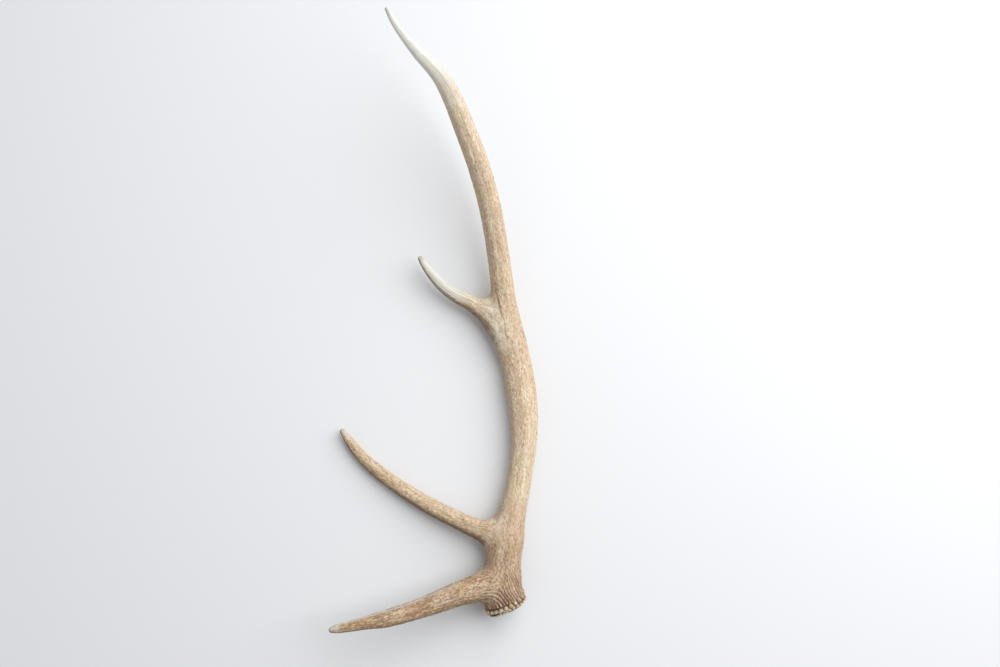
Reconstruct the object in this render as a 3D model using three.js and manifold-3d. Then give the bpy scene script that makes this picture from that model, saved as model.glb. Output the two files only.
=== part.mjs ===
// A shed antler: one main beam with a burr at its base, and three tines that fork from it.
// It lies on a level surface with the hollow side of its curve up. Units are millimetres,
// +Z is up, the surface is z = 0, and the beam runs from the burr along +Y.
//
// Each limb is a lengthwise row of oval sections. Where limbs meet, their skins follow one
// blended field, so that every fork has a rounded web, and saw-straight cuts then part the
// antler at its main forks into lower beam, upper beam and three tines.

import * as THREE from "three";
import { mergeVertices } from "three/addons/utils/BufferGeometryUtils.js";
import Module from "manifold-3d";

const wasm = await Module();
wasm.setup();

// Stations of each limb, root to tip: centre x, y, z, half width across, half depth.
const BEAM_STATIONS = [
  [84, -345, 26.5, 21.5, 20.5],
  [82.5, -318, 25, 21, 20],
  [84.5, -281, 23, 21, 19],
  [95.5, -235.5, 20, 17, 16],
  [103.5, -204.5, 19.2, 15.3, 14.7],
  [111, -164, 19.2, 15.2, 14.7],
  [114.5, -122.5, 19.3, 17, 15.7],
  [112, -80, 18.3, 18.7, 16.3],
  [106, -38, 16.5, 18.8, 16],
  [99, 1, 19, 16, 14.6],
  [92, 39, 25, 15, 14.5],
  [84, 94, 38.5, 14, 14],
  [71.5, 152.5, 59, 14, 13.5],
  [55.4, 200.4, 80, 14.1, 13.6],
  [36.7, 240.9, 100, 13.4, 12.9],
  [20.2, 273.9, 117, 12.2, 11.7],
  [2.3, 299.1, 132, 10.5, 10.1],
  [-23.6, 322.4, 143, 7.8, 7.6],
  [-42.1, 339.7, 152, 5.2, 5.2],
  [-55.3, 356.8, 158, 3.9, 3.9],
  [-63.1, 369.3, 163.7, 2.5, 2.5],
];
const BROW_STATIONS = [
  [80, -317.5, 27, 12, 12],
  [60.5, -322, 30, 18, 17],
  [41.5, -326, 35, 16, 14.7],
  [20, -331.8, 40, 14.2, 13],
  [-1.5, -339, 45, 13.2, 12.4],
  [-24, -346.2, 49.5, 11.7, 11],
  [-46, -352, 53.7, 10.9, 10.2],
  [-67.5, -357, 58, 10, 9.6],
  [-89, -360.3, 62, 7.9, 7.7],
  [-108, -363.7, 65, 6.3, 6.2],
  [-122.5, -366, 66.5, 5.2, 5],
  [-130, -367.1, 67.9, 3.5, 3.4],
];
const BEZ_STATIONS = [
  [90, -266, 21.5, 9, 9],
  [71, -259, 20.3, 13.5, 12.5],
  [52.5, -252.5, 18.8, 12, 11.4],
  [30.5, -242, 17, 11, 10.7],
  [5.5, -229, 14.3, 10.4, 10.2],
  [-21.5, -213, 11.4, 9.8, 9.6],
  [-48.5, -195, 9.3, 8.9, 8.8],
  [-73.1, -175.9, 7.7, 8.2, 8.1],
  [-91, -159, 7.4, 7, 7],
  [-104.5, -142, 7.9, 5.8, 5.7],
  [-115, -127, 8.9, 3.5, 3.4],
];
const TREZ_STATIONS = [
  [93.5, -15, 18, 11, 10],
  [84, 5.5, 19, 15, 12.5],
  [69, 21.5, 19.4, 13, 11],
  [51, 35, 19.1, 10.5, 9.3],
  [31.8, 44.3, 18.9, 8.8, 8.4],
  [13.8, 57.3, 20, 7.6, 7.5],
  [-0.2, 71.7, 22.2, 6.4, 6.3],
  [-10, 84.5, 24.7, 4.9, 4.8],
  [-14.8, 92, 26.2, 3.8, 3.6],
];

// How widely each tine's skin melts into the beam, and how far from the root it is parted.
const BROW_BLEND = 18;
const BEZ_BLEND = 22;
const TREZ_BLEND = 24;
const BROW_CUT = 62;
const BEZ_CUT = 52;
const TREZ_CUT = 62;
const BEAM_CUT = 405;
const PART_GAP = 0.3;

// A skin stops this far outside its own limb, and dips where another limb's skin is on top.
const WEB_REACH = 13;
const DIP_START = 0.5;
const DIP_SLOPE = 0.5;
const DIP_DEPTH = 3;

// Rows of each skin, as spans of [end, step] along the limb, closer together at the forks.
const BEAM_ROWS = [[125, 6.5], [310, 16], [410, 7], [700, 18], [Infinity, 10]];
const BROW_ROWS = [[60, 5], [Infinity, 11]];
const BEZ_ROWS = [[55, 5], [Infinity, 12]];
const TREZ_ROWS = [[55, 5], [Infinity, 9]];
const BEAM_SIDES = 24;
const TINE_SIDES = 18;

// Lengthwise furrows: the share of the radius that they take, at the burr and further up.
const FURROW_BASE = 0.05;
const FURROW_SHAFT = 0.022;
const FURROW_FADE = 70;
const COARSE_FURROWS = { count: 5, share: 0.6, sway: 0.8, swayLength: 60 };
const FINE_FURROWS = { count: 8, share: 0.4, twistLength: 90, start: 1.3 };

// The burr: an oblique collar with a crown of pearls, and the domed seal under it.
const BURR_CENTRE = new THREE.Vector3(83.6, -344.2, 26.2);
const BURR_AXIS = new THREE.Vector3(-0.347, 0.917, 0.184).normalize();
const BURR_STRETCH = 1.06;
const BURR_SIDES = 24;
const BURR_PROFILE = [
  [0, -8.5],
  [12, -7.8],
  [20, -6],
  [24, -3.5],
  [24.5, 3],
  [20, 8],
  [0, 9],
];
const PEARL_COUNT = 22;
const PEARL_RING = 23.6;
const PEARL_SIZE = new THREE.Vector3(3.9, 3.1, 5.2);
const PEARL_SEGMENTS = 7;
const PEARL_RINGS = 5;
const PEARL_SCATTER = { angle: 0.22, growth: 0.16, radius: 0.7, height: 0.8 };

// On the side away from the tines the pearls sit higher up the beam, and stand out further.
const OUTER_RISE = 4;
const OUTER_BULGE = 1.2;
const OUTER_FALLOFF = 4;

const BONE_BROWN = new THREE.Color("#b8946c");
const BONE_TAN = new THREE.Color("#c6a67e");
const BONE_PALE = new THREE.Color("#d6c3a2");

// How finely the centre lines are sampled, and how a skin's reach is searched for.
const AXIS_STEP = 3;
const LENGTH_DIVISIONS = 800;
const MARCH_START = 0.4;
const MARCH_STEP = 1;
const HALVINGS = 8;
const WELD_DISTANCE = 1e-4;

const TIP_ROUNDING = 0.7;
const GROUND_SIZE = 1000;
const UP = new THREE.Vector3(0, 0, 1);

// One limb: samples every few millimetres along its centre line, each with its section.
function makeLimb(stations, blend) {
  const centres = stations.map(([x, y, z]) => new THREE.Vector3(x, y, z));
  const sizes = stations.map((row) => new THREE.Vector3(row[3], row[4], 0));
  const path = new THREE.CatmullRomCurve3(centres, false, "catmullrom", 0.5);
  const girth = new THREE.CatmullRomCurve3(sizes, false, "catmullrom", 0.5);
  path.arcLengthDivisions = LENGTH_DIVISIONS;
  const length = path.getLength();
  const count = Math.round(length / AXIS_STEP);
  const samples = [];
  for (let i = 0; i <= count; i += 1) {
    samples.push(sampleLimb(path, girth, length, i / count));
  }
  return { path, girth, length, samples, blend };
}

// The section at a share of the length: centre, tangent, side and top directions, radii.
function sampleLimb(path, girth, length, share) {
  const t = path.getUtoTmapping(share);
  const centre = path.getPoint(t);
  const tangent = path.getTangent(t);
  const side = tangent.clone().cross(UP).normalize();
  const top = side.clone().cross(tangent).normalize();
  const size = girth.getPoint(t);
  return { centre, tangent, side, top, wide: size.x, deep: size.y, along: share * length };
}

// The section's radius at an angle: an oval with shallow lengthwise furrows.
function sectionRadius(section, angle) {
  const { wide, deep, along } = section;
  const oval = (wide * deep) / Math.hypot(deep * Math.cos(angle), wide * Math.sin(angle));
  const depth = FURROW_SHAFT + (FURROW_BASE - FURROW_SHAFT) * Math.exp(-along / FURROW_FADE);
  const sway = COARSE_FURROWS.sway * Math.sin(along / COARSE_FURROWS.swayLength);
  const twist = FINE_FURROWS.start - along / FINE_FURROWS.twistLength;
  const coarse = COARSE_FURROWS.share * Math.cos(COARSE_FURROWS.count * angle + sway);
  const fine = FINE_FURROWS.share * Math.cos(FINE_FURROWS.count * angle + twist);
  return oval * (1 + depth * (coarse + fine));
}

// How far a point lies outside a limb's skin, measured from the nearest section.
function gapToLimb(limb, point) {
  const { samples } = limb;
  let nearest = 0;
  let least = Infinity;
  for (let i = 0; i < samples.length; i += 1) {
    const distance = samples[i].centre.distanceToSquared(point);
    if (distance < least) {
      least = distance;
      nearest = i;
    }
  }
  const section = samples[nearest];
  const offset = point.clone().sub(section.centre);
  const slip = offset.dot(section.tangent);
  const neighbour = samples[THREE.MathUtils.clamp(nearest + Math.sign(slip), 0, samples.length - 1)];
  const span = neighbour.along - section.along;
  const share = span === 0 ? 0 : THREE.MathUtils.clamp(slip / span, 0, 1);
  const between = {
    wide: THREE.MathUtils.lerp(section.wide, neighbour.wide, share),
    deep: THREE.MathUtils.lerp(section.deep, neighbour.deep, share),
    along: THREE.MathUtils.lerp(section.along, neighbour.along, share),
  };
  offset.sub(neighbour.centre.clone().sub(section.centre).multiplyScalar(share));
  const angle = Math.atan2(offset.dot(section.top), offset.dot(section.side));
  return offset.length() - sectionRadius(between, angle);
}

// The antler's field at a point, negative inside: each tine melts into the beam by its blend.
function fieldAt(beam, tines, point) {
  const beamGap = gapToLimb(beam, point);
  const gaps = new Map([[beam, beamGap]]);
  let field = beamGap;
  for (const tine of tines) {
    const gap = gapToLimb(tine, point);
    const overlap = Math.max(tine.blend - Math.abs(field - gap), 0);
    field = Math.min(field, gap) - (overlap * overlap) / (4 * tine.blend);
    gaps.set(tine, gap);
  }
  return { field, gaps };
}

// The reach of a limb's skin from its centre line along one direction.
function skinReach(limb, beam, tines, section, direction, ownRadius) {
  const probe = (reach) => section.centre.clone().addScaledVector(direction, reach);
  const limit = ownRadius + WEB_REACH;
  let inside = MARCH_START * ownRadius;
  let outside = inside;
  while (outside < limit && fieldAt(beam, tines, probe(outside)).field < 0) {
    inside = outside;
    outside += MARCH_STEP;
  }
  if (outside >= limit) {
    return limit - dipUnderOthers(limb, fieldAt(beam, tines, probe(limit)).gaps);
  }
  for (let i = 0; i < HALVINGS; i += 1) {
    const middle = (inside + outside) / 2;
    if (fieldAt(beam, tines, probe(middle)).field < 0) {
      inside = middle;
    } else {
      outside = middle;
    }
  }
  return outside - dipUnderOthers(limb, fieldAt(beam, tines, probe(outside)).gaps);
}

// A skin dips a little where another limb is the nearer one, so that the skins cross cleanly.
function dipUnderOthers(limb, gaps) {
  const own = gaps.get(limb);
  const others = [...gaps].filter(([other]) => other !== limb).map(([, gap]) => gap);
  const covered = own - Math.min(...others) - DIP_START;
  return THREE.MathUtils.clamp(covered * DIP_SLOPE, 0, DIP_DEPTH);
}

// Where the rows of a skin stand along its limb: spans of [end, step], the last to the tip.
function rowPlaces(limb, spans) {
  const places = [0];
  let start = 0;
  for (const [spanEnd, step] of spans) {
    const end = Math.min(spanEnd, limb.length);
    const rows = Math.round((end - start) / step);
    for (let row = 1; row <= rows; row += 1) {
      places.push(start + ((end - start) * row) / rows);
    }
    start = end;
  }
  return places;
}

// A limb's closed skin: rows of points around the centre line, and a pole at either end.
function limbSkin(limb, beam, tines, spans, sides) {
  const places = rowPlaces(limb, spans);
  const points = [];
  for (const place of places) {
    const section = sampleLimb(limb.path, limb.girth, limb.length, place / limb.length);
    for (let k = 0; k < sides; k += 1) {
      const angle = (2 * Math.PI * k) / sides;
      const direction = section.side.clone().multiplyScalar(Math.cos(angle));
      direction.addScaledVector(section.top, Math.sin(angle));
      const radius = sectionRadius(section, angle);
      const others = [beam, ...tines].filter((other) => other !== limb);
      const reachable = others.some((other) => {
        return gapToLimb(other, section.centre) < radius + other.blend + (limb.blend ?? 0);
      });
      const reach = reachable
        ? skinReach(limb, beam, tines, section, direction, radius)
        : radius;
      points.push(section.centre.clone().addScaledVector(direction, reach));
    }
  }
  const root = sampleLimb(limb.path, limb.girth, limb.length, 0);
  const tip = sampleLimb(limb.path, limb.girth, limb.length, 1);
  points.push(root.centre.clone());
  points.push(tip.centre.clone().addScaledVector(tip.tangent, TIP_ROUNDING * tip.wide));
  return gridSolid(points, places.length, sides);
}

// A solid from rows of points around a closed section, with the two pole points last.
function gridSolid(points, rowCount, sides) {
  const triangles = [];
  for (let row = 0; row < rowCount - 1; row += 1) {
    for (let k = 0; k < sides; k += 1) {
      const a = row * sides + k;
      const b = row * sides + ((k + 1) % sides);
      triangles.push(a, b + sides, b, a, a + sides, b + sides);
    }
  }
  const rootPole = rowCount * sides;
  const tipPole = rootPole + 1;
  const lastRow = (rowCount - 1) * sides;
  for (let k = 0; k < sides; k += 1) {
    const next = (k + 1) % sides;
    triangles.push(rootPole, k, next);
    triangles.push(tipPole, lastRow + next, lastRow + k);
  }
  const geometry = new THREE.BufferGeometry().setFromPoints(points);
  geometry.setIndex(triangles);
  return solidFrom(geometry);
}

// A closed three.js geometry as a solid that can be joined and cut.
function solidFrom(geometry, matrix = new THREE.Matrix4()) {
  const bare = geometry.clone().applyMatrix4(matrix);
  bare.deleteAttribute("normal");
  bare.deleteAttribute("uv");
  const merged = mergeVertices(bare, WELD_DISTANCE);
  return new wasm.Manifold(new wasm.Mesh({
    numProp: 3,
    vertProperties: new Float32Array(merged.attributes.position.array),
    triVerts: new Uint32Array(merged.index.array),
  }));
}

// A large block whose one face stands across a limb, on its root side or its tip side.
function blockAcross(limb, distance, towardsTip) {
  const section = sampleLimb(limb.path, limb.girth, limb.length, distance / limb.length);
  const size = 2 * limb.length;
  const centre = section.centre.clone().addScaledVector(section.tangent, (towardsTip * size) / 2);
  const matrix = new THREE.Matrix4().makeBasis(section.side, section.tangent, section.top);
  matrix.setPosition(centre);
  return solidFrom(new THREE.BoxGeometry(size, size, size), matrix);
}

// A fixed scatter between -1 and 1, so that no two pearls are alike.
function scatter(index, salt) {
  return Math.sin(index * 12.9898 + salt * 78.233);
}

// The collar and seal: a turned profile about the burr's own axis, made slightly oval.
function burrCollar(frame) {
  const outline = BURR_PROFILE.map(([radius, height]) => new THREE.Vector2(radius, height));
  const turned = new THREE.LatheGeometry(outline, BURR_SIDES);
  turned.scale(BURR_STRETCH, 1, 1);
  return solidFrom(turned, frame);
}

// One pearl of the crown: an egg-shaped bead set radially on the collar.
function burrPearl(frame, index) {
  const place = index + PEARL_SCATTER.angle * scatter(index, 1);
  const angle = (2 * Math.PI * place) / PEARL_COUNT;
  const growth = 1 + PEARL_SCATTER.growth * scatter(index, 2);
  const radius = PEARL_RING + PEARL_SCATTER.radius * scatter(index, 3);
  const bead = new THREE.SphereGeometry(1, PEARL_SEGMENTS, PEARL_RINGS);
  bead.scale(PEARL_SIZE.x * growth, PEARL_SIZE.z * growth, PEARL_SIZE.y);
  const outer = Math.max(Math.cos(angle), 0) ** OUTER_FALLOFF;
  const height = PEARL_SCATTER.height * scatter(index, 4) + OUTER_RISE * outer;
  bead.translate(radius + OUTER_BULGE * outer, height, 0);
  bead.rotateY(angle);
  bead.scale(BURR_STRETCH, 1, 1);
  return solidFrom(bead, frame);
}

// The whole burr, with the pearls fused to the collar that they grow from.
function makeBurr() {
  const side = BURR_AXIS.clone().cross(UP).normalize();
  const frame = new THREE.Matrix4().makeBasis(side, BURR_AXIS, side.clone().cross(BURR_AXIS));
  frame.setPosition(BURR_CENTRE);
  let burr = burrCollar(frame);
  for (let index = 0; index < PEARL_COUNT; index += 1) {
    burr = burr.add(burrPearl(frame, index));
  }
  return burr;
}

// A named mesh from a solid, with every part that would be under the surface cut flat.
function makeNode(name, solid, colour, roughness) {
  const ground = new THREE.BoxGeometry(GROUND_SIZE, GROUND_SIZE, GROUND_SIZE);
  ground.translate(0, 0, -GROUND_SIZE / 2);
  const { vertProperties, triVerts } = solid.subtract(solidFrom(ground)).getMesh();
  const geometry = new THREE.BufferGeometry();
  geometry.setAttribute("position", new THREE.BufferAttribute(vertProperties, 3));
  geometry.setIndex(new THREE.BufferAttribute(triVerts, 1));
  geometry.computeVertexNormals();
  const material = new THREE.MeshStandardMaterial({ color: colour, roughness, metalness: 0 });
  const mesh = new THREE.Mesh(geometry, material);
  mesh.name = name;
  return mesh;
}

const beam = makeLimb(BEAM_STATIONS);
const brow = makeLimb(BROW_STATIONS, BROW_BLEND);
const bez = makeLimb(BEZ_STATIONS, BEZ_BLEND);
const trez = makeLimb(TREZ_STATIONS, TREZ_BLEND);
const tines = [brow, bez, trez];

const beamSkin = limbSkin(beam, beam, tines, BEAM_ROWS, BEAM_SIDES);
const browSkin = limbSkin(brow, beam, tines, BROW_ROWS, TINE_SIDES);
const bezSkin = limbSkin(bez, beam, tines, BEZ_ROWS, TINE_SIDES);
const trezSkin = limbSkin(trez, beam, tines, TREZ_ROWS, TINE_SIDES);

const lowerBeam = beamSkin
  .intersect(blockAcross(beam, BEAM_CUT, -1))
  .add(browSkin.intersect(blockAcross(brow, BROW_CUT, -1)))
  .add(bezSkin.intersect(blockAcross(bez, BEZ_CUT, -1)))
  .add(trezSkin.intersect(blockAcross(trez, TREZ_CUT, -1)))
  .add(makeBurr());
const upperBeam = beamSkin.intersect(blockAcross(beam, BEAM_CUT + PART_GAP, 1));
const browTine = browSkin.intersect(blockAcross(brow, BROW_CUT + PART_GAP, 1));
const bezTine = bezSkin.intersect(blockAcross(bez, BEZ_CUT + PART_GAP, 1));
const trezTine = trezSkin.intersect(blockAcross(trez, TREZ_CUT + PART_GAP, 1));

const group = new THREE.Group();
group.name = "deer_antler";
group.add(
  makeNode("lower_beam", lowerBeam, BONE_BROWN, 0.7),
  makeNode("upper_beam", upperBeam, BONE_TAN, 0.6),
  makeNode("brow_tine", browTine, BONE_BROWN, 0.65),
  makeNode("bez_tine", bezTine, BONE_TAN, 0.62),
  makeNode("trez_tine", trezTine, BONE_PALE, 0.58),
);

export default group;
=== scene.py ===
"""A deer antler: one curved main beam with a pearled burr at its base, and three tines.

Each limb's skin is a surface over (distance along the limb, angle round it). It follows one
field that melts the tines into the beam, and carries furrows, beads and wrinkles worked out
in the limb's own straightened space. Lengths in the shape code are millimetres.
"""

import math
from collections import namedtuple

import bpy
import numpy as np
from bpy.props import FloatProperty, FloatVectorProperty, IntProperty, PointerProperty
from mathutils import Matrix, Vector


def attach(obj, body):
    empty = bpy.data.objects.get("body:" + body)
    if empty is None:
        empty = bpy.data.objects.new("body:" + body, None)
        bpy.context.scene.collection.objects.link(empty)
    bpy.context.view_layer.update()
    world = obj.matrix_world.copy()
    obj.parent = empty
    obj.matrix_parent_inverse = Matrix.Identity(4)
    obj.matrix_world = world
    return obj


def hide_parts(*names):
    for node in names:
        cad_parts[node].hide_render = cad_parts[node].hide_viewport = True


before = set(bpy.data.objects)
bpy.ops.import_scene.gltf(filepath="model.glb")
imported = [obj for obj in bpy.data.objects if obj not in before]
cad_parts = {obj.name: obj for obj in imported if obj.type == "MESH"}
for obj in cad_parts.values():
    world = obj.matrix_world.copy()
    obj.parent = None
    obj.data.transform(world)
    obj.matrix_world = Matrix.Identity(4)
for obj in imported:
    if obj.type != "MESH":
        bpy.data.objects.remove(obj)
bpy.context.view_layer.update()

bl_info = {
    "name": "Deer antler",
    "version": (1, 0, 0),
    "blender": (4, 5, 0),
    "location": "3D View > Sidebar > Antler",
    "description": "Builds a deer antler with a pearled burr and three tines",
    "category": "Add Mesh",
}

MM = 0.001
UP = np.array([0.0, 0.0, 1.0])

# Stations of each limb, root to tip: centre x, y, z, half width across, half depth.
BEAM_STATIONS = [
    (84, -345, 26.5, 21.5, 20.5),
    (82.5, -318, 25, 21, 20),
    (84.5, -281, 23, 21, 19),
    (95.5, -235.5, 20, 17, 16),
    (103.5, -204.5, 19.2, 15.3, 14.7),
    (111, -164, 19.2, 15.2, 14.7),
    (114.5, -122.5, 19.3, 17, 15.7),
    (112, -80, 18.3, 18.7, 16.3),
    (106, -38, 16.5, 18.8, 16),
    (99, 1, 19, 16, 14.6),
    (92, 39, 25, 15, 14.5),
    (84, 94, 38.5, 14, 14),
    (71.5, 152.5, 59, 14, 13.5),
    (55.4, 200.4, 80, 14.1, 13.6),
    (36.7, 240.9, 100, 13.4, 12.9),
    (20.2, 273.9, 117, 12.2, 11.7),
    (2.3, 299.1, 132, 10.5, 10.1),
    (-23.6, 322.4, 143, 7.8, 7.6),
    (-42.1, 339.7, 152, 5.2, 5.2),
    (-55.3, 356.8, 158, 3.9, 3.9),
    (-63.1, 369.3, 163.7, 2.5, 2.5),
]
BROW_STATIONS = [
    (80, -317.5, 27, 12, 12),
    (60.5, -322, 30, 18, 17),
    (41.5, -326, 35, 16, 14.7),
    (20, -331.8, 40, 14.2, 13),
    (-1.5, -339, 45, 13.2, 12.4),
    (-24, -346.2, 49.5, 11.7, 11),
    (-46, -352, 53.7, 10.9, 10.2),
    (-67.5, -357, 58, 10, 9.6),
    (-89, -360.3, 62, 7.9, 7.7),
    (-108, -363.7, 65, 6.3, 6.2),
    (-122.5, -366, 66.5, 5.2, 5),
    (-130, -367.1, 67.9, 3.5, 3.4),
]
BEZ_STATIONS = [
    (90, -266, 21.5, 9, 9),
    (71, -259, 20.3, 13.5, 12.5),
    (52.5, -252.5, 18.8, 12, 11.4),
    (30.5, -242, 17, 11, 10.7),
    (5.5, -229, 14.3, 10.4, 10.2),
    (-21.5, -213, 11.4, 9.8, 9.6),
    (-48.5, -195, 9.3, 8.9, 8.8),
    (-73.1, -175.9, 7.7, 8.2, 8.1),
    (-91, -159, 7.4, 7, 7),
    (-104.5, -142, 7.9, 5.8, 5.7),
    (-115, -127, 8.9, 3.5, 3.4),
]
TREZ_STATIONS = [
    (93.5, -15, 18, 11, 10),
    (84, 5.5, 19, 15, 12.5),
    (69, 21.5, 19.4, 13, 11),
    (51, 35, 19.1, 10.5, 9.3),
    (31.8, 44.3, 18.9, 8.8, 8.4),
    (13.8, 57.3, 20, 7.6, 7.5),
    (-0.2, 71.7, 22.2, 6.4, 6.3),
    (-10, 84.5, 24.7, 4.9, 4.8),
    (-14.8, 92, 26.2, 3.8, 3.6),
]

# How widely each tine melts into the beam.
BROW_BLEND = 18.0
BEZ_BLEND = 22.0
TREZ_BLEND = 24.0

# Along the beam: its first row, where the rows no longer slant with the burr, and its cut.
BEAM_START = 5.0
ROOT_SLANT = 32.0
BEAM_CUT = 405.0

# Broad lengthwise furrows, as a share of the radius at the root and further out, and how
# far along the one fades into the other.
FURROW_BASE = 0.05
FURROW_SHAFT = 0.022
FURROW_FADE = 70.0

# Sampling of centre lines, and the search for the skin.
AXIS_STEP = 2.0
LENGTH_DIVISIONS = 800
MARCH_START = 0.4
MARCH_STEPS = 18
MARCH_SHARE = 0.95
WEB_REACH = 13.0
DIP_SLOPE = 0.5
DIP_DEPTH = 3.0
BLOCK = 20000

# Rows and sides of each skin, and rows in a rounded tip.
BEAM_ROWS = 432
BEAM_SIDES = 224
TINE_GRIDS = {"brow": (296, 192), "bez": (320, 176), "trez": (220, 160)}
TIP_ROWS = 8

# The burr: its place, and its turned profile as (radius, height) from the seal to the crown.
BURR_CENTRE = np.array([83.6, -344.2, 26.2])
BURR_AXIS = np.array([-0.347, 0.917, 0.184]) / np.linalg.norm([-0.347, 0.917, 0.184])
BURR_STRETCH = 1.06
BURR_PROFILE = [
    (0, -8.5),
    (6, -8.6),
    (12, -7.9),
    (17.5, -6.8),
    (21.3, -4.6),
    (22.9, -1),
    (22.7, 2.6),
    (20.6, 6),
    (17, 8.6),
    (0, 9.5),
]
BURR_GRID = (140, 640)

# The pearls: ring radius, half width, height of the middle, how much longer they are above
# it, and how much each height is turned to roughen their sides. Those on the +X side stand
# higher and further out, by the falloff'th power of the cosine of their angle.
PEARL_RING = 23.4
PEARL_WIDTH = 2.7
PEARL_LEVEL = 1.2
PEARL_UPPER = 1.25
PEARL_WOBBLE = 0.01
OUTER_RISE = 4.0
OUTER_BULGE = 1.2
OUTER_FALLOFF = 4

# Rings of smaller beads under the pearls: count, ring radius, size out, round and up, height.
BEAD_ROWS = (
    (27, 22.6, (3.0, 2.3, 2.1), -2.6),
    (33, 21.4, (2.2, 2.0, 1.7), -5.3),
)

# The wrinkles: how many go round, their height above the burr's centre, the corner that they
# turn about, how far they reach, how much shorter along the brow tine, and how far below
# their height they fade in. The flare is where the bone widens to meet the pearls.
WRINKLE_COUNT = 38
WRINKLE_LEVEL = 5.0
WRINKLE_CORNER = -23.0
WRINKLE_REACH = 29.0
WRINKLE_BROW_FADE = 0.19
WRINKLE_START = (-14.0, -2.0)
FLARE_HEIGHT = 2.6
FLARE_REACH = 5.0

# How rough, whitened, brown and speckled each limb is at distances along it.
ROUGHNESS = {
    "beam": [(0, 1.0), (330, 0.85), (560, 0.6), (680, 0.15), (792, 0.02)],
    "brow": [(0, 1.0), (140, 0.75), (200, 0.3), (221, 0.1)],
    "bez": [(0, 0.85), (150, 0.6), (235, 0.25), (253, 0.05)],
    "trez": [(0, 0.7), (80, 0.35), (120, 0.1), (158, 0.03)],
}
WHITENESS = {
    "beam": [(0, 0.0), (540, 0.05), (620, 0.25), (680, 0.6), (725, 1.0)],
    "brow": [(0, 0.0), (190, 0.05), (212, 0.5), (221, 0.6)],
    "bez": [(0, 0.05), (232, 0.1), (250, 0.55)],
    "trez": [(0, 0.15), (55, 0.3), (95, 0.8), (158, 0.9)],
}
BROWNNESS = {
    "beam": [(0, 1.3), (60, 1.0), (100, 0.7), (140, -0.1), (190, -0.1), (350, 0.4), (792, 0.1)],
    "brow": [(0, 1.0), (90, 1.1), (190, 1.4), (221, 1.3)],
    "bez": [(0, 0.6), (120, 0.3), (253, 0.35)],
    "trez": [(0, 0.25), (60, 0.15), (158, 0.0)],
}
FLECKS = {
    "beam": [(0, 0.85), (60, 0.8), (140, 0.6), (200, 0.7), (260, 1.0), (792, 1.0)],
    "brow": [(0, 1.35), (221, 1.35)],
    "bez": [(0, 1.2), (253, 1.25)],
    "trez": [(0, 1.2), (158, 1.3)],
}

# How ochre each limb is, how much browner its left side is (seen from above, looking along
# it: the side away from the key light, so partly the bone's browner underside and partly
# painted shade), how dark a band of painted shade, partly grime, runs along that side, how
# much grime the very tip holds, and how pale the web is where the limb melts into the beam.
OCHRE = {"beam": 0.3, "brow": 0.5, "bez": 0.45, "trez": 0.25}
LEFT_BROWN_AND_SHADE = {"beam": 0.15, "brow": 0.35, "bez": 1.0, "trez": 0.9}
LEFT_SHADE_AND_GRIME = {"beam": 0.05, "brow": 0.2, "bez": 0.65, "trez": 0.55}
TIP_SOIL = {"beam": 0.15, "brow": 0.3, "bez": 0.2, "trez": 0.35}
WEB_PALE = {"beam": 0.0, "brow": 0.2, "bez": 0.9, "trez": 1.4}

# Noise stretched along a limb: how wide round it and how long along it, and a shift.
WAVES = {
    "wander": (4.0, 26.0, 3.1),
    "furrow": (3.4, 46.0, 7.3),
    "groove": (1.7, 26.0, 12.9),
    "streak": (1.5, 18.0, 21.7),
    "hair": (0.7, 12.0, 27.3),
    "blotch": (7.0, 16.0, 31.1),
    "fleck": (2.6, 6.5, 43.9),
    "rust": (9.0, 24.0, 57.7),
    "speck": (1.15, 3.6, 65.3),
    "ochre": (9.0, 20.0, 71.9),
    "rose": (8.0, 22.0, 91.3),
}

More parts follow.
